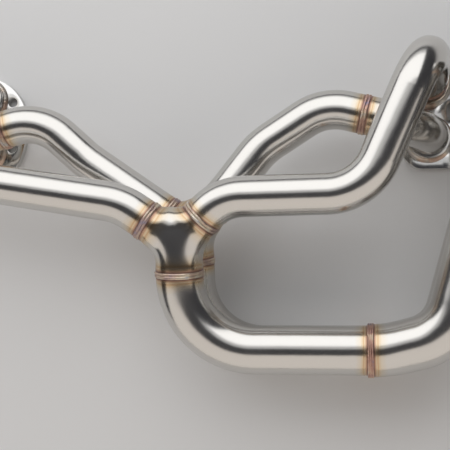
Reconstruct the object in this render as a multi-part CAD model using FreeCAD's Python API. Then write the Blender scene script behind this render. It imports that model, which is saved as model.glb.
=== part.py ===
"""Four-into-two stainless exhaust manifold for a flat-four engine.

It lies as it does on a bench: both head plates flat on their gasket faces, pipes arching up over them.
+Z points away from the gasket faces, +X runs across the engine from the left bank to the right bank,
and the two merges and the secondaries lie towards -Y.  Millimetres throughout.
The routes are laid out about the engine's centre line.  At the end every piece is shifted along X, so that
the origin lies on the right head plate's gasket face, midway between its two ports.
"""
import FreeCAD, Part
import math
import os

V = FreeCAD.Vector

# ---- stock sizes -------------------------------------------------------------------------------------
primary_r = 42.7 / 2            # outside radius of the primary tube
secondary_r = 50.8 / 2          # outside radius of the secondary tube
riser_r = 54.0 / 2              # outside radius of the riser tube
wall = 1.6                      # wall of every tube and of the formed merges
plate_t = 10.0                  # thickness of the head plates
turbo_plate_t = 12.0            # thickness of the turbo flange

# ---- ports and plates --------------------------------------------------------------------------------
port_x = 263.0                  # engine centre line to each bank's port line
port_y = 31.0                   # half the pitch of a bank's two ports
plate_port_r = 20.5             # port hole in a head plate, a little wider than the tube's bore
bolt_r = 5.5                    # clearance hole for an M10 stud
plate_half_len = 65.0           # half the right head plate's length
plate_inboard = 29.5            # right plate: port line to inboard edge
plate_outboard = 42.0           # right plate: port line to outboard edge
plate_corner_r = 24.0
slot_half_width = 6.0           # oval bolt hole that lets the right plate grow with heat
slot_half_len = 10.5
slot_out = 27.0                 # port line to the oval hole
inner_bolt_in = 18.0            # port line to the single bolt on the other side of the ports
corner_bolt_out = 30.0
corner_bolt_y = 44.0
left_round_r = 62.0             # round sweep on the left plate's inboard side
left_round_x = -273.0           # centre of that sweep
left_flat_r = 110.0             # flatter sweep below the middle of that side
left_flat_turn = math.radians(25)
left_bolt_x = -230.0
left_bolt_y = 28.0
collar_t = 2.5                  # wall of the collar round the foot of each port tube
collar_h = 12.0
collar_chamfer = 0.8
elbow_r = 44.0                  # centre-line radius of the port elbows

# ---- merges ------------------------------------------------------------------------------------------
merge_tilt = 12.0               # degrees that a merge's outlet dips below level
merge_corner = 33.0             # outlet to the point where both branch lines meet
left_angle = 34.8               # degrees that each branch climbs above level
right_angle = 45.0
left_bend_r = 50.0
right_bend_r = 65.0
right_length = 36.0             # corner to the right inlet
front_left_length = 40.0        # corner to the left inlet, shorter on the rear merge
rear_left_length = 31.0
web_rise = 0.43                 # the web's middle above the corner, as a share of the branches' length
web_inset = 0.5                 # the web runs this far inside the branches where it leaves them
merge_sections = 7              # rings that shape each tapered branch
front_outlet_y = -184.5
rear_outlet_y = -168.0

# ---- secondaries and risers --------------------------------------------------------------------------
run_y = -265.5                  # line of the level run along the engine's edge
front_run_z = 88.0
rear_run_z = 28.2               # the weld on the rear run just clears the bench
run_end_x = 196.0               # weld between secondary and riser
riser_gap = front_run_z - rear_run_z
turbo_x = 330.0
turbo_y = 16.0                  # back face of the turbo flange
front_turbo_z = 122.0
rear_turbo_z = front_turbo_z - riser_gap
secondary_bend_r = 78.0

# ---- turbo flange ------------------------------------------------------------------------------------
turbo_bolt_x = 31.0             # half the bolt spacing across
turbo_bolt_z = 50.0             # half the bolt spacing up and down
turbo_edge = 11.0               # bolt centre to the flange's edge
turbo_port_r = riser_r - wall + 0.4

# ---- welds -------------------------------------------------------------------------------------------
bead_w = 6.5
bead_h = 1.1
foot_weld = 3.6                 # leg of the fillet round each foot


def unit(vector):
    return vector * (1.0 / vector.Length)


def ring_face(centre, direction, outer):
    """A tube's cross-section, square to its direction."""
    outside = Part.Face(Part.Wire(Part.makeCircle(outer, centre, direction)))
    inside = Part.Face(Part.Wire(Part.makeCircle(outer - wall, centre, direction)))
    return outside.cut(inside).Faces[0]


def tube(points, radii, outer):
    """A bent tube: straight runs joined by tangent arcs, one bend radius for each inner point."""
    pieces = []
    start = points[0]
    for before, corner, after, radius in zip(points, points[1:], points[2:], radii):
        way_in = unit(corner - before)
        way_out = unit(after - corner)
        turn = way_in.getAngle(way_out)
        reach = radius * math.tan(turn / 2)
        bend_start = corner - way_in * reach
        axis = unit(way_in.cross(way_out))
        centre = bend_start + axis.cross(way_in) * radius
        pieces.append(ring_face(start, way_in, outer).extrude(bend_start - start))
        pieces.append(ring_face(bend_start, way_in, outer).revolve(centre, axis, math.degrees(turn)))
        start = corner + way_out * reach
    last = points[-1]
    pieces.append(ring_face(start, last - start, outer).extrude(last - start))
    return joined(pieces)


def joined(pieces):
    whole = pieces[0]
    if len(pieces) > 1:
        whole = pieces[0].multiFuse(pieces[1:]).removeSplitter()
    return whole.Solids[0] if len(whole.Solids) == 1 else whole


def turned_ring(profile, centre, direction):
    """Spin a profile of (radius, height) points about +Z, then stand it on centre along direction."""
    corners = [V(radius, 0, height) for radius, height in profile]
    face = Part.Face(Part.makePolygon(corners + corners[:1]))
    ring = face.revolve(V(0, 0, 0), V(0, 0, 1), 360)
    turn = FreeCAD.Rotation(V(0, 0, 1), unit(direction))
    ring.Placement = FreeCAD.Placement(centre, turn)
    return ring


def bead(centre, direction, outer):
    """A butt weld's raised ring, with a low crowned section."""
    half = bead_w / 2
    steps = 6
    crown = []
    for step in range(steps + 1):
        angle = math.pi * step / steps
        crown.append((outer + bead_h * math.sin(angle), half * math.cos(angle)))
    return turned_ring(crown, centre, direction)


def foot_bead(centre, direction, outer):
    """A fillet weld in the corner between a tube and the plate it stands on."""
    profile = [(outer, 0), (outer + foot_weld, 0), (outer + foot_weld * 0.62, foot_weld * 0.62)]
    profile.append((outer, foot_weld))
    return turned_ring(profile, centre, direction)


def cylinder_between(start, end, radius):
    return Part.makeCylinder(radius, (end - start).Length, start, end - start)


# ---- merges: two tapered bent branches that flow into one outlet -------------------------------------
tilt = math.radians(merge_tilt)
front_outlet = V(-2.5, front_outlet_y, front_run_z + (front_outlet_y - run_y) * math.tan(tilt))
rear_outlet = V(-0.5, rear_outlet_y, rear_run_z + (rear_outlet_y - run_y) * math.tan(tilt))
merge_up = V(0, math.cos(tilt), math.sin(tilt))     # from the outlet back into the merge
merge_normal = V(0, -math.sin(tilt), math.cos(tilt))


def branch_way(side, angle):
    """Direction from the corner out through an inlet; side is -1 for left and 1 for right."""
    rise = math.radians(angle)
    return V(side * math.cos(rise), 0, 0) + merge_up * math.sin(rise)


def bend_of(side):
    return (left_angle, left_bend_r) if side < 0 else (right_angle, right_bend_r)


def inlet(outlet, side, length):
    return outlet + merge_up * merge_corner + branch_way(side, bend_of(side)[0]) * length


def branch(outlet, side, length, shrink):
    """One branch as a solid, from its inlet to the shared outlet; shrink takes the wall off."""
    angle, radius = bend_of(side)
    way = branch_way(side, angle)
    corner = outlet + merge_up * merge_corner
    turn = math.radians(90 - angle)
    reach = radius * math.tan(turn / 2)
    bend_start = corner + way * reach
    bend_end = corner - merge_up * reach
    inward = merge_normal.cross(way) * side
    centre = bend_start - inward * radius
    rings = []
    for step in range(merge_sections):
        share = step / (merge_sections - 1)
        angle_here = turn * share
        spoke = inward * math.cos(angle_here) - way * math.sin(angle_here)
        heading = way * -math.cos(angle_here) - inward * math.sin(angle_here)
        size = primary_r + (secondary_r - primary_r) * share - shrink
        rings.append(Part.Wire(Part.makeCircle(size, centre + spoke * radius, heading)))
    body = Part.makeLoft(rings, True, False)
    entry = cylinder_between(inlet(outlet, side, length), bend_start, primary_r - shrink)
    leaving = cylinder_between(bend_end, outlet, secondary_r - shrink)
    return entry.multiFuse([body, leaving])


def web(outlet, left_length, shrink):
    """The formed saddle that bows from one inlet to the other, over the crotch."""
    corner = outlet + merge_up * merge_corner
    ways = [branch_way(-1, left_angle), branch_way(1, right_angle)]
    mouths = [corner + ways[0] * left_length, corner + ways[1] * right_length]
    rise = web_rise * (left_length + right_length) / 2
    bow = Part.Arc(mouths[0], corner + unit(ways[0] + ways[1]) * rise, mouths[1]).toShape()
    way_in = bow.tangentAt(bow.FirstParameter)
    span = math.degrees(bow.LastParameter - bow.FirstParameter)
    disc = Part.Face(Part.Wire(Part.makeCircle(primary_r - web_inset - shrink, mouths[0], way_in)))
    solid = disc.revolve(bow.Curve.Center, bow.Curve.Axis, span)
    for mouth, way in zip(mouths, ways):
        edge = mouth - way * (bead_w / 2)
        solid = solid.cut(cylinder_between(edge, mouth + way * 30, 2 * primary_r))
    return solid


def merge(outlet, left_length):
    lengths = {-1: left_length, 1: right_length}
    solids = []
    for shrink in (0, wall):
        sides = [branch(outlet, side, length, shrink) for side, length in lengths.items()]
        solids.append(sides[0].multiFuse([sides[1], web(outlet, left_length, shrink)]))
    return solids[0].cut(solids[1]).Solids[0]


# ---- routes ------------------------------------------------------------------------------------------
right_front_foot = V(port_x, port_y, plate_t)
right_rear_foot = V(port_x, -port_y, plate_t)
left_front_foot = V(-port_x, port_y, plate_t)
left_rear_foot = V(-port_x, -port_y, plate_t)

left_way = branch_way(-1, left_angle)
right_way = branch_way(1, right_angle)

# The front pair arches high, over the rear pair.
left_front_start = inlet(front_outlet, -1, front_left_length)
left_front_turn = left_front_start + left_way * 34
left_front_far = V(-352, -62, 118)
left_front_back = V(-352, port_y, 126)
left_front_top = V(-port_x, port_y, 126)
left_front_joint = left_front_turn + unit(left_front_far - left_front_turn) * 232

right_front_start = inlet(front_outlet, 1, right_length)
right_front_turn = right_front_start + right_way * 30
right_front_low = V(192.5, -106, 132)
right_front_top = V(261.5, 49, 140)
right_front_drop = V(port_x, port_y, 48)
right_front_joint = V(port_x, port_y, 34)

left_rear_start = inlet(rear_outlet, -1, rear_left_length)
left_rear_turn = V(-119, -54, 63)
left_rear_high = V(-171.5, -6, 70)
left_rear_top = V(-port_x, -port_y, 72)
left_rear_joint = left_rear_high + unit(left_rear_top - left_rear_high) * 46

right_rear_start = inlet(rear_outlet, 1, right_length)
right_rear_turn = V(80, -45.5, 64)
right_rear_high = V(149.5, -2, 68)
right_rear_top = V(port_x, -port_y, 68)
right_rear_joint = right_rear_high + unit(right_rear_top - right_rear_high) * 45


def secondary_route(outlet, run_z):
    """From a merge's outlet, dipping with it, then square along the engine's edge."""
    return [outlet, V(outlet.x, run_y, run_z), V(run_end_x, run_y, run_z)]


def riser_route(run_z, turbo_z):
    """Along the edge, round the corner, and up beside the right head plate to the turbo flange."""
    climb = turbo_z - run_z
    return [
        V(run_end_x, run_y, run_z),
        V(213, run_y, run_z),
        V(274, -249.5, run_z + climb * 0.45),
        V(turbo_x, -52, turbo_z),
        V(turbo_x, turbo_y, turbo_z),
    ]


# ---- head plates and turbo flange --------------------------------------------------------------------
def rounded_rectangle(low_x, high_x, low_y, high_y, radius):
    """Outline as a wire, from its four sides and one corner radius."""
    diagonal = radius * (1 - math.sqrt(0.5))
    spots = [
        (V(low_x + radius, low_y), V(high_x - radius, low_y), V(high_x - diagonal, low_y + diagonal)),
        (V(high_x, low_y + radius), V(high_x, high_y - radius), V(high_x - diagonal, high_y - diagonal)),
        (V(high_x - radius, high_y), V(low_x + radius, high_y), V(low_x + diagonal, high_y - diagonal)),
        (V(low_x, high_y - radius), V(low_x, low_y + radius), V(low_x + diagonal, low_y + diagonal)),
    ]
    edges = []
    for place, (start, end, middle) in enumerate(spots):
        following = spots[(place + 1) % 4][0]
        edges.append(Part.LineSegment(start, end).toShape())
        edges.append(Part.Arc(end, middle, following).toShape())
    return Part.Wire(edges)


def left_outline():
    """Straight outboard side; inboard, a round sweep above, then flatter down to a smaller corner."""
    outer_x = -port_x - plate_inboard
    apex = V(left_round_x + left_round_r, 0)
    end = V(left_round_x, left_round_r)
    high = V(left_round_x + left_round_r * math.sqrt(0.5), left_round_r * math.sqrt(0.5))
    flat_centre = apex - V(left_flat_r, 0)
    spoke = [V(math.cos(turn), -math.sin(turn)) for turn in (left_flat_turn / 2, left_flat_turn)]
    flat_end = flat_centre + spoke[1] * left_flat_r
    corner_r = (left_round_r + flat_end.y) / (1 - math.sin(left_flat_turn))
    corner_centre = flat_end - spoke[1] * corner_r
    halfway = (left_flat_turn + math.pi / 2) / 2
    corner_middle = corner_centre + V(math.cos(halfway), -math.sin(halfway)) * corner_r
    start = corner_centre - V(0, corner_r)
    edges = [Part.Arc(start, corner_middle, flat_end).toShape()]
    edges.append(Part.Arc(flat_end, flat_centre + spoke[0] * left_flat_r, apex).toShape())
    edges.append(Part.Arc(apex, high, end).toShape())
    small = left_round_x - outer_x
    diagonal = small * (1 - math.sqrt(0.5))
    top_corner = V(outer_x + diagonal, left_round_r - diagonal)
    edges.append(Part.Arc(end, top_corner, V(outer_x, left_round_r - small)).toShape())
    side = Part.LineSegment(V(outer_x, left_round_r - small), V(outer_x, small - left_round_r))
    edges.append(side.toShape())
    low_corner = V(outer_x + diagonal, diagonal - left_round_r)
    low_end = V(left_round_x, -left_round_r)
    edges.append(Part.Arc(V(outer_x, small - left_round_r), low_corner, low_end).toShape())
    edges.append(Part.LineSegment(low_end, start).toShape())
    return Part.Wire(edges)


def drilled(outline, thickness, holes):
    plate = Part.Face(outline).extrude(V(0, 0, thickness))
    for x, y, radius in holes:
        plate = plate.cut(Part.makeCylinder(radius, thickness + 2, V(x, y, -1)))
    return plate


def right_plate():
    outline = rounded_rectangle(port_x - plate_inboard, port_x + plate_outboard,
                                -plate_half_len, plate_half_len, plate_corner_r)
    holes = [(port_x, port_y, plate_port_r), (port_x, -port_y, plate_port_r)]
    holes.append((port_x - inner_bolt_in, 0, bolt_r))
    for side in (-1, 1):
        holes.append((port_x + corner_bolt_out, side * corner_bolt_y, bolt_r))
    plate = drilled(outline, plate_t, holes)
    slot_x = port_x + slot_out
    slot = rounded_rectangle(slot_x - slot_half_width, slot_x + slot_half_width,
                             -slot_half_len, slot_half_len, slot_half_width - 0.01)
    return plate.cut(Part.Face(slot).extrude(V(0, 0, plate_t)))


def left_plate():
    holes = [(-port_x, port_y, plate_port_r), (-port_x, -port_y, plate_port_r)]
    holes.append((-port_x - inner_bolt_in, 0, bolt_r))
    for side in (-1, 1):
        holes.append((left_bolt_x, side * left_bolt_y, bolt_r))
    return drilled(left_outline(), plate_t, holes)


def turbo_flange():
    """A twin-port flange that stands across the two riser ends."""
    half_x = turbo_bolt_x + turbo_edge
    half_z = turbo_bolt_z + turbo_edge
    outline = rounded_rectangle(-half_x, half_x, -half_z, half_z, turbo_edge)
    holes = [(0, riser_gap / 2, turbo_port_r), (0, -riser_gap / 2, turbo_port_r)]
    for side in (-1, 1):
        for end in (-1, 1):
            holes.append((side * turbo_bolt_x, end * turbo_bolt_z, bolt_r))
    flange = drilled(outline, turbo_plate_t, holes)
    flange.rotate(V(0, 0, 0), V(1, 0, 0), 90)
    flange.translate(V(turbo_x, turbo_y + turbo_plate_t, front_turbo_z - riser_gap / 2))
    return flange


def collar(foot):
    """The sleeve that locates a port tube's foot on its plate."""
    outer = primary_r + collar_t
    profile = [(primary_r, 0), (outer, 0), (outer, collar_h - collar_chamfer)]
    profile += [(outer - collar_chamfer, collar_h), (primary_r, collar_h)]
    return turned_ring(profile, foot, V(0, 0, 1))


# ---- pieces ------------------------------------------------------------------------------------------
pieces = {}
pieces["right_head_plate"] = right_plate()
pieces["left_head_plate"] = left_plate()
for name, foot in (("right_front", right_front_foot), ("right_rear", right_rear_foot),
                   ("left_front", left_front_foot), ("left_rear", left_rear_foot)):
    pieces[name + "_port_collar"] = collar(foot)

pieces["left_front_primary"] = tube([left_front_start, left_front_turn, left_front_joint], [70], primary_r)
pieces["left_front_return_bend"] = tube(
    [left_front_joint, left_front_far, left_front_back, left_front_top, left_front_foot],
    [46, elbow_r, elbow_r], primary_r)
pieces["right_front_primary"] = tube(
    [right_front_start, right_front_turn, right_front_low,
     right_front_top, right_front_drop, right_front_joint],
    [58, 58, elbow_r, 80], primary_r)
pieces["right_front_port_tube"] = tube([right_front_joint, right_front_foot], [], primary_r)
pieces["left_rear_primary"] = tube(
    [left_rear_start, left_rear_start + left_way * 22,
     left_rear_turn, left_rear_high, left_rear_joint],
    [120, 90, 60], primary_r)
pieces["left_rear_elbow"] = tube([left_rear_joint, left_rear_top, left_rear_foot], [elbow_r], primary_r)
pieces["right_rear_primary"] = tube(
    [right_rear_start, right_rear_start + right_way * 22,
     right_rear_turn, right_rear_high, right_rear_joint],
    [120, 80, 60], primary_r)
pieces["right_rear_elbow"] = tube([right_rear_joint, right_rear_top, right_rear_foot], [elbow_r], primary_r)

pieces["front_merge"] = merge(front_outlet, front_left_length)
pieces["rear_merge"] = merge(rear_outlet, rear_left_length)
front_route = secondary_route(front_outlet, front_run_z)
rear_route = secondary_route(rear_outlet, rear_run_z)
pieces["front_secondary"] = tube(front_route, [secondary_bend_r], secondary_r)
pieces["rear_secondary"] = tube(rear_route, [secondary_bend_r], secondary_r)
front_riser_route = riser_route(front_run_z, front_turbo_z)
rear_riser_route = riser_route(rear_run_z, rear_turbo_z)
pieces["front_riser"] = tube(front_riser_route, [90, 54, 80], riser_r)
pieces["rear_riser"] = tube(rear_riser_route, [90, 54, 80], riser_r)
pieces["turbo_flange"] = turbo_flange()

merge_sizes = (("front", front_outlet, front_left_length), ("rear", rear_outlet, rear_left_length))
for which, outlet, left_length in merge_sizes:
    rings = [bead(inlet(outlet, -1, left_length), left_way, primary_r)]
    rings.append(bead(inlet(outlet, 1, right_length), right_way, primary_r))
    rings.append(bead(outlet, merge_up, secondary_r))
    pieces[which + "_merge_welds"] = Part.makeCompound(rings)
pieces["left_primary_welds"] = Part.makeCompound([
    bead(left_front_joint, left_front_far - left_front_turn, primary_r),
    bead(left_rear_joint, left_rear_top - left_rear_high, primary_r)])
pieces["right_primary_welds"] = Part.makeCompound([
    bead(right_front_joint, V(0, 0, 1), primary_r),
    bead(right_rear_joint, right_rear_top - right_rear_high, primary_r)])
for name, feet in (("left_plate_welds", (left_front_foot, left_rear_foot)),
                   ("right_plate_welds", (right_front_foot, right_rear_foot))):
    rings = [foot_bead(foot, V(0, 0, 1), primary_r + collar_t) for foot in feet]
    pieces[name] = Part.makeCompound(rings)
pieces["riser_welds"] = Part.makeCompound([
    bead(route[0], V(1, 0, 0), riser_r) for route in (front_riser_route, rear_riser_route)])
pieces["turbo_flange_welds"] = Part.makeCompound([
    foot_bead(route[-1], V(0, -1, 0), riser_r) for route in (front_riser_route, rear_riser_route)])

# ---- files -------------------------------------------------------------------------------------------
os.makedirs("parts", exist_ok=True)
for name, shape in pieces.items():
    shape.translate(V(-port_x, 0, 0))
    shape.exportStep(os.path.join("parts", name + ".step"))
    print(name, "valid", shape.isValid(), "solids", len(shape.Solids), "volume", round(shape.Volume))
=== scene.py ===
import math
import bmesh
import bpy
import numpy as np
from mathutils import Matrix, Vector


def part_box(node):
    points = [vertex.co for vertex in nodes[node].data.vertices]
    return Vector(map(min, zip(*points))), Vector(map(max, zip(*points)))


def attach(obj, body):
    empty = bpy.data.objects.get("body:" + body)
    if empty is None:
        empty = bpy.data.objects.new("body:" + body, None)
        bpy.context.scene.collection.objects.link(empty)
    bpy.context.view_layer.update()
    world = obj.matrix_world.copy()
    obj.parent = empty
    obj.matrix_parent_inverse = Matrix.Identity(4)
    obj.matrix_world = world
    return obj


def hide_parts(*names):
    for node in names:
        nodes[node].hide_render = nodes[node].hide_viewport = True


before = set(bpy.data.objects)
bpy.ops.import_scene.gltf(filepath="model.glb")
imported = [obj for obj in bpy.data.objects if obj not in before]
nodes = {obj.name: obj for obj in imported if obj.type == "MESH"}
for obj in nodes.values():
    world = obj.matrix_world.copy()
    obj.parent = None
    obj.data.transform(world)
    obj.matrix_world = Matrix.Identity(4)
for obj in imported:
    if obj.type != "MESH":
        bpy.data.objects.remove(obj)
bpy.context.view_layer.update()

# ---- Camera ------------------------------------------------------------------------------------------
# It looks steeply down on the manifold from above its merge side, a little nearer the right bank.
# The origin is on the right head plate's gasket face, midway between its ports.
camera = bpy.data.objects.new("camera", bpy.data.cameras.new("camera"))
bpy.context.scene.collection.objects.link(camera)
camera.location = (-0.061, -0.229, 1.090)
lean_left = math.radians(9.0)
lean_back = math.radians(5.5)
looking = Vector((-math.tan(lean_left), math.tan(lean_back), -1.0)).normalized()
rightward = looking.cross(Vector((0.0, 1.0, 0.0))).normalized()
upward = rightward.cross(looking)
camera.rotation_euler = Matrix((rightward, upward, -looking)).transposed().to_euler()
camera.data.lens = 76.0
camera.data.clip_end = 20.0
bpy.context.scene.camera = camera


# ---- Weld joints -------------------------------------------------------------------------------------
# Every weld is a closed ring round its joint. The centre, axis and size of each are read off the CAD
# ring, so the beads, the heat tint and the merges all follow the same joints.
def rings_of(node):
    mesh = nodes[node].data
    points = np.empty(len(mesh.vertices) * 3)
    mesh.vertices.foreach_get("co", points)
    spots, same = np.unique(np.round(points.reshape(-1, 3), 6), axis=0, return_inverse=True)
    edges = np.empty(len(mesh.edges) * 2, dtype=np.int64)
    mesh.edges.foreach_get("vertices", edges)
    edges = same.reshape(-1)[edges].reshape(-1, 2)
    group = np.arange(len(spots))
    before = None
    while before is None or (group != before).any():
        before = group.copy()
        lowest = np.minimum(group[edges[:, 0]], group[edges[:, 1]])
        np.minimum.at(group, edges[:, 0], lowest)
        np.minimum.at(group, edges[:, 1], lowest)
        group = group[group]
    rings = []
    for label in np.unique(group):
        ring = spots[group == label]
        middle = ring.mean(axis=0)
        spread, ways = np.linalg.eigh(np.cov((ring - middle).T))
        axis = ways[:, 0]
        along = (ring - middle) @ axis
        reach = np.linalg.norm(ring - middle - np.outer(along, axis), axis=1)
        if along[reach > reach.max() * 0.999].mean() > (along.min() + along.max()) / 2 + 1e-5:
            axis = -axis
            along = -along
        rings.append({
            "centre": Vector(middle + axis * (along.min() + along.max()) / 2),
            "axis": Vector(axis),
            "radius": float(reach.min()),
            "top": float(reach.max()),
            "width": float(along.max() - along.min()),
        })
    return rings


butt_ends = ("merge_welds", "primary_welds", "riser_welds")
butt_welds = {node: rings_of(node) for node in nodes if node.endswith(butt_ends)}
foot_welds = {node: rings_of(node) for node in nodes if node.endswith(("plate_welds", "flange_welds"))}
all_rings = [ring for rings in (*butt_welds.values(), *foot_welds.values()) for ring in rings]


# ---- Polished tube -----------------------------------------------------------------------------------
# Thin stainless tube, mandrel-bent and polished, and the short collars in which it stands on the
# plates. Each joint leaves bands of brown, copper and straw on it, wider in some places than in others.
class Socket:
    """A node's output. Sums on it are written as Python, in shaders and in geometry nodes alike, and
    one method makes every other node from its settings and its inputs."""

    def __init__(self, tree, link=None):
        self.tree = tree
        self.link = link

    def node(self, kind, settings, inputs, output=0):
        made = self.tree.nodes.new(kind)
        for key, value in settings.items():
            if key == "stops":
                for place, colour in value[1:-1]:
                    made.color_ramp.elements.new(place)
                for element, (place, colour) in zip(made.color_ramp.elements, value):
                    element.position = place
                    element.color = (*colour, 1.0)
            else:
                setattr(made, key, value)
        for place, value in inputs.items():
            if isinstance(value, Socket):
                self.tree.links.new(value.link, made.inputs[place])
            else:
                made.inputs[place].default_value = value
        return Socket(self.tree, made.outputs[output])

    def sum(self, operation, first, second=0.0):
        return self.node("ShaderNodeMath", {"operation": operation}, {0: first, 1: second})

    def __add__(self, other):
        return self.sum("ADD", self, other)

    def __radd__(self, other):
        return self.sum("ADD", other, self)

    def __sub__(self, other):
        return self.sum("SUBTRACT", self, other)

    def __rsub__(self, other):
        return self.sum("SUBTRACT", other, self)

    def __mul__(self, other):
        return self.sum("MULTIPLY", self, other)

    def __rmul__(self, other):
        return self.sum("MULTIPLY", other, self)

    def __truediv__(self, other):
        return self.sum("DIVIDE", self, other)

    def __rtruediv__(self, other):
        return self.sum("DIVIDE", other, self)

    def least(self, other):
        return self.sum("MINIMUM", self, other)

    def most(self, other):
        return self.sum("MAXIMUM", self, other)

    def size(self):
        return self.sum("ABSOLUTE", self)

    def clamped(self):
        return self.node("ShaderNodeClamp", {}, {0: self})

    def noise(self, scale, detail=2.0):
        return self.node("ShaderNodeTexNoise", {}, {"Vector": self, "Scale": scale, "Detail": detail})

    def into(self, shader, name):
        self.tree.links.new(self.link, shader.inputs[name])


def start_material(name):
    material = bpy.data.materials.new(name)
    material.use_nodes = True
    shader = material.node_tree.nodes["Principled BSDF"]
    place = Socket(material.node_tree).node("ShaderNodeTexCoord", {}, {}, "Object")
    return material, shader, place


def rings_near(node, reach=0.03):
    low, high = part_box(node)
    return [ring for ring in all_rings if all(
        low[i] - reach < ring["centre"][i] < high[i] + reach for i in range(3))]


def tinted_steel(name, joints, steel, smooth, spread=1.0):
    """Polished steel with heat bands by distance in millimetres from the nearest of the joints."""
    bead_side = 3.2
    tint_reach = 18.0
    dull_from, dull_over = 3.0, 6.0
    own_tube = 1.25
    material, shader, place = start_material(name)
    cloud = place.noise(55.0, 3.0)
    drift = place.noise(17.0)
    nearest = None
    for ring in joints:
        gap = place.node("ShaderNodeVectorMath", {"operation": "DISTANCE"},
                         {0: place, 1: ring["centre"]}, "Value")
        offset = place.node("ShaderNodeVectorMath", {"operation": "SUBTRACT"}, {0: place, 1: ring["centre"]})
        along = offset.node("ShaderNodeVectorMath", {"operation": "DOT_PRODUCT"},
                            {0: offset, 1: ring["axis"]}, "Value")
        away = along.size().most(gap - ring["radius"] * own_tube)
        nearest = away if nearest is None else nearest.least(away)
    shader.inputs["Metallic"].default_value = 1.0
    rough = smooth + (cloud - 0.5) * 0.06
    if joints:
        millimetres = nearest * 1000.0
        patchy = 0.45 + drift * 1.25
        ragged = (cloud - 0.5) * 1.4
        shifted = (millimetres - bead_side) / spread * patchy + bead_side + ragged
        tint = place.node("ShaderNodeValToRGB", {"stops": [
            (0.00, (0.20, 0.12, 0.11)), (0.19, (0.22, 0.13, 0.11)), (0.23, (0.38, 0.23, 0.17)),
            (0.29, (0.54, 0.37, 0.24)), (0.36, (0.63, 0.51, 0.36)), (0.43, (0.54, 0.37, 0.22)),
            (0.50, (0.61, 0.49, 0.34)), (0.66, (0.63, 0.57, 0.48)), (1.00, steel)]},
            {"Fac": shifted / tint_reach})
        tint.into(shader, "Base Color")
        oxide = 1.0 - ((millimetres - dull_from) / dull_over).clamped()
        rough = rough + oxide * 0.14
    else:
        shader.inputs["Base Color"].default_value = (*steel, 1.0)
    rough.into(shader, "Roughness")
    wave = place.noise(38.0, 1.0)
    bump = place.node("ShaderNodeBump", {}, {"Strength": 0.10, "Distance": 0.002, "Height": wave})
    bump.into(shader, "Normal")
    return material


polished = (0.62, 0.605, 0.58)
polish_roughness = 0.20
tallest_butt = 0.002
for node in nodes:
    if node.endswith(("primary", "bend", "elbow", "tube", "secondary", "riser", "collar")):
        joints = [ring for ring in rings_near(node) if ring["top"] - ring["radius"] < tallest_butt]
        steel = tinted_steel(node + "_steel", joints, polished, polish_roughness)
        nodes[node].data.materials.clear()
        nodes[node].data.materials.append(steel)


# ---- Merges ------------------------------------------------------------------------------------------
# Each is pressed in two halves from the same sheet and dressed smooth: two branches that flow into one
# outlet, with a web drawn up over the crotch and a flat face between the lobes.
class Arm:
    """One branch's centre line: straight, an arc in the merge's plane, then straight again."""

    def __init__(self, outlet, way_up, inlet):
        self.size_low = outlet["radius"]
        self.size_high = inlet["radius"]
        self.mouth = np.array(inlet["centre"])
        way_out = np.array(inlet["axis"])
        climb = way_out @ way_up
        across = way_out - way_up * climb
        side = across / np.linalg.norm(across)
        start = np.array(outlet["centre"])
        span = self.mouth - start
        self.corner = start + way_up * (span @ way_up - (span @ side) / (way_out @ side) * climb)
        if (self.mouth - self.corner) @ way_out < 0:
            way_out, side, climb = -way_out, -side, -climb
        self.way_out = way_out
        self.turn = math.acos(climb)
        tangent = 0.0265
        self.radius = tangent / math.tan(self.turn / 2)
        self.spoke = -side
        self.ahead = way_up
        self.centre = self.corner - way_up * tangent + side * self.radius

    def nearest(self, points):
        """Distance to the line, the branch's size there, and how far the point is on the crotch's side."""
        rel = points - self.centre
        x = rel @ self.spoke
        y = rel @ self.ahead
        end_x, end_y = math.cos(self.turn), math.sin(self.turn)
        angle = np.arctan2(y, x)
        past = y * end_x - x * end_y
        before = angle < 0
        after = (angle > self.turn) & (past > 0)
        line_x = np.where(before, self.radius, np.where(after, self.radius * end_x - end_y * past,
                                                        self.radius * np.cos(angle)))
        line_y = np.where(before, y, np.where(after, self.radius * end_y + end_x * past,
                                              self.radius * np.sin(angle)))
        on_line = self.centre + np.outer(line_x, self.spoke) + np.outer(line_y, self.ahead)
        share = np.where(before, 0.0, np.where(after, 1.0, np.clip(angle / self.turn, 0, 1)))
        size = self.size_low + (self.size_high - self.size_low) * share
        beyond = np.where(before, x, np.where(after, x * end_x + y * end_y, np.hypot(x, y))) - self.radius
        return np.linalg.norm(points - on_line, axis=1), size, beyond


class Bow:
    """The web's centre line: a shallow circle from one inlet to the other, over the crotch."""

    def __init__(self, arms):
        self.arms = arms
        self.thinning = 0.0025
        lengths = [np.linalg.norm(arm.mouth - arm.corner) for arm in arms]
        middle = arms[0].way_out + arms[1].way_out
        crown_height = 0.43 * sum(lengths) / 2
        rise = arms[0].corner + middle / np.linalg.norm(middle) * crown_height
        first, second = arms[0].mouth - rise, arms[1].mouth - rise
        normal = np.cross(first, second)
        self.normal = normal / np.linalg.norm(normal)
        lift = (first @ first) * second - (second @ second) * first
        self.centre = rise + np.cross(lift, normal) / (2 * (normal @ normal))
        self.radius = np.linalg.norm(self.centre - rise)

    def nearest(self, points):
        rel = points - self.centre
        flat = rel - np.outer(rel @ self.normal, self.normal)
        reach = np.linalg.norm(flat, axis=1)
        on_line = self.centre + flat * (self.radius / reach)[:, None]
        size = self.arms[0].size_high - self.thinning * (1 - eased(points, self.arms))
        return np.linalg.norm(points - on_line, axis=1), size, reach - self.radius


def eased(points, arms, run_in=0.016):
    """0 at either inlet, rising smoothly to 1 a little way inside both."""
    inside = np.minimum(*[(arm.mouth - points) @ arm.way_out for arm in arms])
    share = np.clip(inside / run_in, 0, 1)
    return share * share * (3 - 2 * share)


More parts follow.
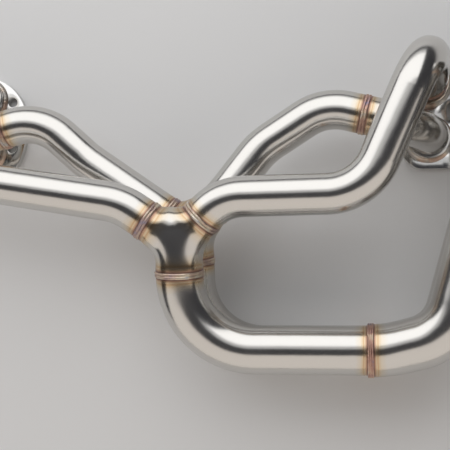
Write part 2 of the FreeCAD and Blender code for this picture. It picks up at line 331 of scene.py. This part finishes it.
def blended(first, second, blend):
    overlap = np.maximum(blend - np.abs(first - second), 0) / blend
    return np.minimum(first, second) - overlap * overlap * blend / 4


def merge_piece(name, rings):
    crease_size, crease_reach = 0.010, 0.014
    arm_core, web_core = 0.0235, 0.0205
    overrun = 0.006
    wall = 0.0016
    rings = sorted(rings, key=lambda ring: -ring["radius"])
    outlet, inlets = rings[0], rings[1:]
    middle = (inlets[0]["centre"] + inlets[1]["centre"]) / 2
    way_up = outlet["axis"] * (1 if outlet["axis"].dot(middle - outlet["centre"]) > 0 else -1)
    arms = [Arm(outlet, np.array(way_up), inlet) for inlet in inlets]
    bow = Bow(arms)

    def depth(points):
        near = [line.nearest(points) for line in (*arms, bow)]
        skins = [distance - size for distance, size, beyond in near]
        height = np.abs((points - bow.centre) @ bow.normal)
        within = np.all([beyond > 0 for distance, size, beyond in near], axis=0)
        pulls = [1 / (np.abs(beyond) + 1e-6) for distance, size, beyond in near]
        mixed = sum(pull * size for pull, (distance, size, beyond) in zip(pulls, near)) / sum(pulls)
        closest = np.minimum.reduce([distance for distance, size, beyond in near])
        aside = np.sqrt(np.maximum(closest ** 2 - height ** 2, 0))
        crease = crease_size * np.clip(np.where(within, 0, aside) / crease_reach, 0, 1) * eased(points, arms)
        skin = blended(np.minimum(skins[0], skins[1]), skins[2], crease + 1e-5)
        return np.where(within, np.minimum(height - mixed, skin), skin)

    def slope(points, step=2e-5):
        parts = []
        for i in range(3):
            offset = np.zeros(3)
            offset[i] = step
            parts.append((depth(points + offset) - depth(points - offset)) / (2 * step))
        return np.stack(parts, axis=1)

    rough = bmesh.new()
    for arm in arms:
        stops = [(np.array(outlet["centre"]) - np.array(way_up) * overrun, arm.size_low),
                 (arm.corner, arm_core),
                 (arm.mouth + arm.way_out * overrun, arm.size_high)]
        for (start, wide), (end, thin) in zip(stops, stops[1:]):
            along = Vector(end - start)
            stand = along.to_track_quat("Z", "Y").to_matrix().to_4x4()
            place = Matrix.Translation(Vector((start + end) / 2)) @ stand
            bmesh.ops.create_cone(rough, cap_ends=True, segments=48, radius1=wide, radius2=thin,
                                  depth=along.length, matrix=place)
        bmesh.ops.create_icosphere(rough, subdivisions=3, radius=arm_core,
                                   matrix=Matrix.Translation(Vector(arm.corner)))
    for share in (0.1, 0.3, 0.5, 0.7, 0.9):
        chord = arms[0].mouth + (arms[1].mouth - arms[0].mouth) * share - bow.centre
        spot = bow.centre + chord * bow.radius / np.linalg.norm(chord)
        bmesh.ops.create_icosphere(rough, subdivisions=3, radius=web_core,
                                   matrix=Matrix.Translation(Vector(spot)))
    mesh = bpy.data.meshes.new(name)
    rough.to_mesh(mesh)
    rough.free()
    piece = bpy.data.objects.new(name, mesh)
    bpy.context.scene.collection.objects.link(piece)
    skin = piece.modifiers.new("skin", "REMESH")
    skin.mode = "VOXEL"
    skin.voxel_size = 0.0017
    relax = piece.modifiers.new("relax", "SMOOTH")
    relax.iterations = 12
    bpy.context.view_layer.update()
    smooth = bpy.data.meshes.new_from_object(piece.evaluated_get(bpy.context.evaluated_depsgraph_get()))
    piece.modifiers.clear()
    body = bmesh.new()
    body.from_mesh(smooth)

    def settle(rounds):
        points = np.array([vert.co for vert in body.verts])
        for go in range(rounds):
            lean = slope(points)
            points -= lean * (depth(points) / np.maximum((lean * lean).sum(axis=1), 0.25))[:, None]
        for vert, point in zip(body.verts, points):
            vert.co = point

    settle(4)
    for go in range(3):
        bmesh.ops.smooth_vert(body, verts=body.verts, factor=0.5,
                              use_axis_x=True, use_axis_y=True, use_axis_z=True)
        settle(2)
    cuts = [(outlet["centre"], -way_up)] + [(arm.mouth, arm.way_out) for arm in arms]
    for spot, way in cuts:
        bmesh.ops.bisect_plane(body, geom=body.verts[:] + body.edges[:] + body.faces[:], dist=1e-6,
                               plane_co=Vector(spot), plane_no=Vector(way), clear_outer=True)
    bmesh.ops.triangulate(body, faces=body.faces[:])
    body.verts.index_update()
    outer = np.array([vert.co for vert in body.verts])
    lean = slope(outer, step=0.0016)
    lean /= np.linalg.norm(lean, axis=1)[:, None]
    flat_lean = lean.copy()
    for spot, way in cuts:
        way = np.array(way)
        at_cut = np.abs((outer - np.array(spot)) @ way) < 2e-6
        flat_lean[at_cut] -= np.outer(flat_lean[at_cut] @ way, way)
    inner = outer - flat_lean * wall
    faces = [tuple(vert.index for vert in face.verts) for face in body.faces]
    count = len(outer)
    solid = list(faces) + [tuple(i + count for i in reversed(face)) for face in faces]
    for edge in body.edges:
        if edge.is_boundary:
            loop = edge.link_loops[0]
            first, second = loop.vert.index, loop.link_loop_next.vert.index
            solid.append((second, first, first + count, second + count))
    body.free()
    made = bpy.data.meshes.new(name + "_shell")
    made.from_pydata(np.concatenate([outer, inner]).tolist(), [], solid)
    made.shade_smooth()
    made.normals_split_custom_set_from_vertices(np.concatenate([lean, -lean]).tolist())
    piece.data = made
    return piece


merge_spread = 1.5
for node in ("front_merge", "rear_merge"):
    piece = merge_piece(node + "_body", butt_welds[node + "_welds"])
    steel = tinted_steel(node + "_steel", rings_near(node), polished, polish_roughness, merge_spread)
    piece.data.materials.append(steel)
    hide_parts(node)
    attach(piece, "root")


# ---- Weld beads --------------------------------------------------------------------------------------
# Fusion welds laid by hand. A butt joint has passes side by side, a foot has one fillet, and every
# pass is a row of overlapping ripples, like coins pushed over.
ripples = bpy.data.node_groups.new("weld_ripples", "GeometryNodeTree")
for kind, name in (("Geometry", "Base"), ("Float", "Radius"), ("Float", "Spacing"), ("Int", "Passes"),
                   ("Int", "Count"), ("Vector", "Size"), ("Float", "Lean"), ("Int", "Seed"),
                   ("Material", "Weld")):
    ripples.interface.new_socket(name, in_out="INPUT", socket_type="NodeSocket" + kind)
ripples.interface.new_socket("Bead", in_out="OUTPUT", socket_type="NodeSocketGeometry")
entry = ripples.nodes.new("NodeGroupInput")
given = {item.name: Socket(ripples, entry.outputs[item.name]) for item in ripples.interface.items_tree
         if item.in_out == "INPUT"}
maker = Socket(ripples)
circle = maker.node("GeometryNodeMeshCircle", {}, {"Vertices": given["Count"], "Radius": given["Radius"]})
step = maker.node("ShaderNodeCombineXYZ", {}, {"Z": given["Spacing"]})
start = step.node("ShaderNodeVectorMath", {"operation": "SCALE"},
                  {0: step, "Scale": (given["Passes"] - 1.0) * -0.5})
rows = maker.node("GeometryNodeMeshLine", {},
                  {"Count": given["Passes"], "Start Location": start, "Offset": step})
laid = maker.node("GeometryNodeInstanceOnPoints", {}, {"Points": rows, "Instance": circle})
spots = laid.node("GeometryNodeRealizeInstances", {}, {0: laid})
wander_round, wander_up = 0.00012, 0.00022
jitter = maker.node("FunctionNodeRandomValue", {"data_type": "FLOAT_VECTOR"},
                    {0: (-wander_round, -wander_round, -wander_up),
                     1: (wander_round, wander_round, wander_up), "Seed": given["Seed"]})
spots = spots.node("GeometryNodeSetPosition", {}, {"Geometry": spots, "Offset": jitter})
here = maker.node("GeometryNodeInputPosition", {}, {})
outward = here.node("ShaderNodeVectorMath", {"operation": "MULTIPLY"}, {0: here, 1: (1.0, 1.0, 0.0)})
facing = outward.node("FunctionNodeAlignRotationToVector", {"axis": "Z"}, {"Vector": outward})
facing = facing.node("FunctionNodeAlignRotationToVector", {"axis": "Y", "pivot_axis": "Z"},
                     {"Rotation": facing, "Vector": (0.0, 0.0, 1.0)})
coin_tilt = 0.28
lean = maker.node("ShaderNodeCombineXYZ", {}, {"X": given["Lean"], "Y": coin_tilt})
lean = lean.node("FunctionNodeEulerToRotation", {}, {0: lean})
facing = facing.node("FunctionNodeRotateRotation", {"rotation_space": "LOCAL"}, {0: facing, 1: lean})
swell = maker.node("FunctionNodeRandomValue", {"data_type": "FLOAT_VECTOR"},
                   {0: (0.9, 0.86, 0.85), 1: (1.1, 1.12, 1.0), "Seed": given["Seed"] + 7.0})
swell = swell.node("ShaderNodeVectorMath", {"operation": "MULTIPLY"}, {0: swell, 1: given["Size"]})
coin = maker.node("GeometryNodeMeshIcoSphere", {}, {"Radius": 1.0, "Subdivisions": 2})
coin = coin.node("GeometryNodeSetShadeSmooth", {}, {"Geometry": coin})
coins = spots.node("GeometryNodeInstanceOnPoints", {},
                   {"Points": spots, "Instance": coin, "Rotation": facing, "Scale": swell})
coins = coins.node("GeometryNodeRealizeInstances", {}, {0: coins})
whole = maker.node("GeometryNodeJoinGeometry", {}, {0: coins})
ripples.links.new(given["Base"].link, whole.link.node.inputs[0])
whole = whole.node("GeometryNodeSetMaterial", {}, {"Geometry": whole, "Material": given["Weld"]})
ripples.links.new(whole.link, ripples.nodes.new("NodeGroupOutput").inputs[0])


def weld_metal(name, colours):
    material, shader, place = start_material(name)
    shader.inputs["Metallic"].default_value = 1.0
    patch = place.noise(70.0, 3.0)
    colour = place.node("ShaderNodeValToRGB", {"stops": colours}, {"Fac": patch})
    colour.into(shader, "Base Color")
    rough = 0.24 + place.noise(160.0) * 0.18
    rough.into(shader, "Roughness")
    return material


butt_metal = weld_metal("butt_weld_metal", [
    (0.30, (0.34, 0.29, 0.37)), (0.40, (0.50, 0.31, 0.26)), (0.50, (0.62, 0.41, 0.33)),
    (0.60, (0.70, 0.55, 0.42)), (0.70, (0.60, 0.56, 0.53))])
merge_metal = weld_metal("merge_weld_metal", [
    (0.30, (0.36, 0.32, 0.40)), (0.40, (0.46, 0.34, 0.32)), (0.50, (0.60, 0.47, 0.38)),
    (0.60, (0.70, 0.62, 0.50)), (0.70, (0.60, 0.58, 0.57))])
foot_metal = weld_metal("foot_weld_metal", [
    (0.30, (0.56, 0.54, 0.52)), (0.44, (0.60, 0.54, 0.47)), (0.54, (0.66, 0.50, 0.40)),
    (0.70, (0.60, 0.42, 0.34))])


def turned_section(name, section, sides):
    """A closed section of (radius, height) points, spun about Z."""
    turn = np.arange(sides) * (2 * math.pi / sides)
    points = [(r * math.cos(a), r * math.sin(a), z) for a in turn for r, z in section]
    count = len(section)
    faces = []
    for i in range(sides):
        for j in range(count):
            k = (j + 1) % count
            n = (i + 1) % sides
            faces.append((i * count + j, n * count + j, n * count + k, i * count + k))
    mesh = bpy.data.meshes.new(name)
    mesh.from_pydata(points, [], faces)
    mesh.shade_smooth()
    return mesh


def bead_mesh(name, section, values):
    holder = bpy.data.objects.new(name, turned_section(name, section, 144))
    bpy.context.scene.collection.objects.link(holder)
    layer = holder.modifiers.new("ripples", "NODES")
    layer.node_group = ripples
    for item in ripples.interface.items_tree:
        if item.in_out == "INPUT" and item.name in values:
            layer[item.identifier] = values[item.name]
    bpy.context.view_layer.update()
    mesh = bpy.data.meshes.new_from_object(holder.evaluated_get(bpy.context.evaluated_depsgraph_get()))
    bpy.data.objects.remove(holder)
    return mesh


def weld_piece(node, rings, metal):
    widest_two_pass = 0.026
    butt_coin_step, foot_coin_step = 0.00135, 0.0019
    fillet_bulge = 0.066
    sunk = 0.0001
    whole = bmesh.new()
    for number, ring in enumerate(rings):
        size, wide = ring["radius"], ring["width"]
        proud = ring["top"] - size
        if metal is not foot_metal:
            passes = 3 if size > widest_two_pass else 2
            pitch = wide / passes
            crown = [(size + proud * (0.05 + 0.62 * abs(math.sin(math.pi * s * passes)) ** 0.8),
                      (s - 0.5) * wide) for s in np.linspace(0, 1, 25)]
            values = {"Radius": size + proud * 0.34, "Spacing": pitch, "Passes": passes, "Lean": 0.0,
                      "Count": round(2 * math.pi * size / butt_coin_step), "Seed": 11 + number,
                      "Size": (0.00125, pitch * 0.36, proud * 0.56), "Weld": metal}
        else:
            crown = [(size + proud * (1 - s), wide * (s - 0.5) + fillet_bulge * wide * math.sin(math.pi * s))
                     for s in np.linspace(0, 1, 9)]
            values = {"Radius": size + proud * 0.36, "Spacing": 0.0, "Passes": 1,
                      "Lean": math.radians(-45),
                      "Count": round(2 * math.pi * size / foot_coin_step), "Seed": 31 + number,
                      "Size": (0.0017, wide * 0.62, wide * 0.20), "Weld": metal}
        section = crown + [(size - sunk, wide / 2), (size - sunk, -wide / 2)]
        mesh = bead_mesh(node + "_ring", section, values)
        stand = ring["axis"].to_track_quat("Z", "Y").to_matrix().to_4x4()
        mesh.transform(Matrix.Translation(ring["centre"]) @ stand)
        whole.from_mesh(mesh)
    made = bpy.data.meshes.new(node + "_beads")
    bmesh.ops.recalc_face_normals(whole, faces=whole.faces)
    whole.to_mesh(made)
    whole.free()
    made.shade_smooth()
    made.materials.append(metal)
    piece = bpy.data.objects.new(node + "_beads", made)
    bpy.context.scene.collection.objects.link(piece)
    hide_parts(node)
    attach(piece, "root")


for node, rings in butt_welds.items():
    weld_piece(node, rings, merge_metal if "merge" in node else butt_metal)
for node, rings in foot_welds.items():
    weld_piece(node, rings, foot_metal)


# ---- Head plates and turbo flange --------------------------------------------------------------------
# Stainless plates that bolt to the two heads and to the turbocharger, with the tube feet welded to them.
# They are cut from thick plate, with every cut edge broken and the faces polished flat.
plate_steel = (0.66, 0.655, 0.64)
plate_roughness = 0.13
broken_edge = 0.0006
for node in ("right_head_plate", "left_head_plate", "turbo_flange"):
    cut = bmesh.new()
    cut.from_mesh(nodes[node].data)
    bmesh.ops.remove_doubles(cut, verts=cut.verts, dist=1e-6)
    bmesh.ops.dissolve_limit(cut, angle_limit=math.radians(0.5), verts=cut.verts, edges=cut.edges)
    sharp = [edge for edge in cut.edges if edge.is_manifold and edge.calc_face_angle() > math.radians(50)]
    bmesh.ops.bevel(cut, geom=sharp, offset=broken_edge, segments=3, profile=0.5, affect="EDGES",
                    clamp_overlap=True)
    bmesh.ops.triangulate(cut, faces=cut.faces)
    mesh = bpy.data.meshes.new(node + "_ground")
    cut.to_mesh(mesh)
    cut.free()
    mesh.shade_smooth()
    mesh.set_sharp_from_angle(angle=math.radians(25))
    mesh.materials.append(tinted_steel(node + "_steel", [], plate_steel, plate_roughness))
    piece = bpy.data.objects.new(node + "_ground", mesh)
    bpy.context.scene.collection.objects.link(piece)
    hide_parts(node)
    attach(piece, "root")


# ---- Studio ------------------------------------------------------------------------------------------
# A plain pale floor, a long white scrim on the far side, brighter in its middle and stopping short on
# the right, and a long warm card on the near side. The unlit strip overhead between them is what the
# tops of the tubes show as a dark band.
half = 60.0
floor_mesh = bpy.data.meshes.new("floor")
corners = [(-half, -half, 0), (half, -half, 0), (half, half, 0), (-half, half, 0)]
floor_mesh.from_pydata(corners, [], [(0, 1, 2, 3)])
floor = bpy.data.objects.new("floor", floor_mesh)
bpy.context.scene.collection.objects.link(floor)
paint, paint_shader = start_material("floor_paint")[:2]
paint_shader.inputs["Base Color"].default_value = (0.80, 0.80, 0.80, 1.0)
paint_shader.inputs["Roughness"].default_value = 0.65
floor_mesh.materials.append(paint)


def long_light(name, low, high, ends, glow, colour):
    """A flat light between two X ends, spanning two (y, z) edges, and facing the manifold."""
    length = ends[1] - ends[0]
    middle_x = (ends[0] + ends[1]) / 2
    edges = [Vector((middle_x, *low)), Vector((middle_x, *high))]
    across = edges[1] - edges[0]
    middle = (edges[0] + edges[1]) / 2
    lamp = bpy.data.lights.new(name, "AREA")
    lamp.shape = "RECTANGLE"
    lamp.size = length
    lamp.size_y = across.length
    lamp.energy = glow * math.pi * length * across.length
    lamp.color = colour
    light = bpy.data.objects.new(name, lamp)
    bpy.context.scene.collection.objects.link(light)
    behind = Vector((1.0, 0.0, 0.0)).cross(across.normalized())
    along = Vector((1.0, 0.0, 0.0))
    manifold_middle = Vector((middle_x, -0.1, 0.0))
    if behind.dot(middle - manifold_middle) < 0:
        behind = -behind
        along = -along
    light.location = middle
    light.rotation_euler = Matrix((along, across.normalized(), behind)).transposed().to_euler()


long_light("far_scrim", (2.7, 0.45), (0.06, 2.2), (-3.4, 0.9), 0.64, (1.0, 1.0, 1.0))
long_light("far_core", (2.0, 0.75), (0.40, 1.75), (-3.4, 0.8), 0.88, (1.0, 1.0, 1.0))
long_light("near_card", (-2.3, 0.05), (-1.0, 2.0), (-3.2, 4.6), 0.8, (1.0, 0.93, 0.86))
studio = bpy.data.worlds.new("studio")
studio.use_nodes = True
studio.node_tree.nodes["Background"].inputs["Color"].default_value = (0.05, 0.05, 0.055, 1.0)
bpy.context.scene.world = studio
bpy.context.scene.view_settings.view_transform = "Standard"
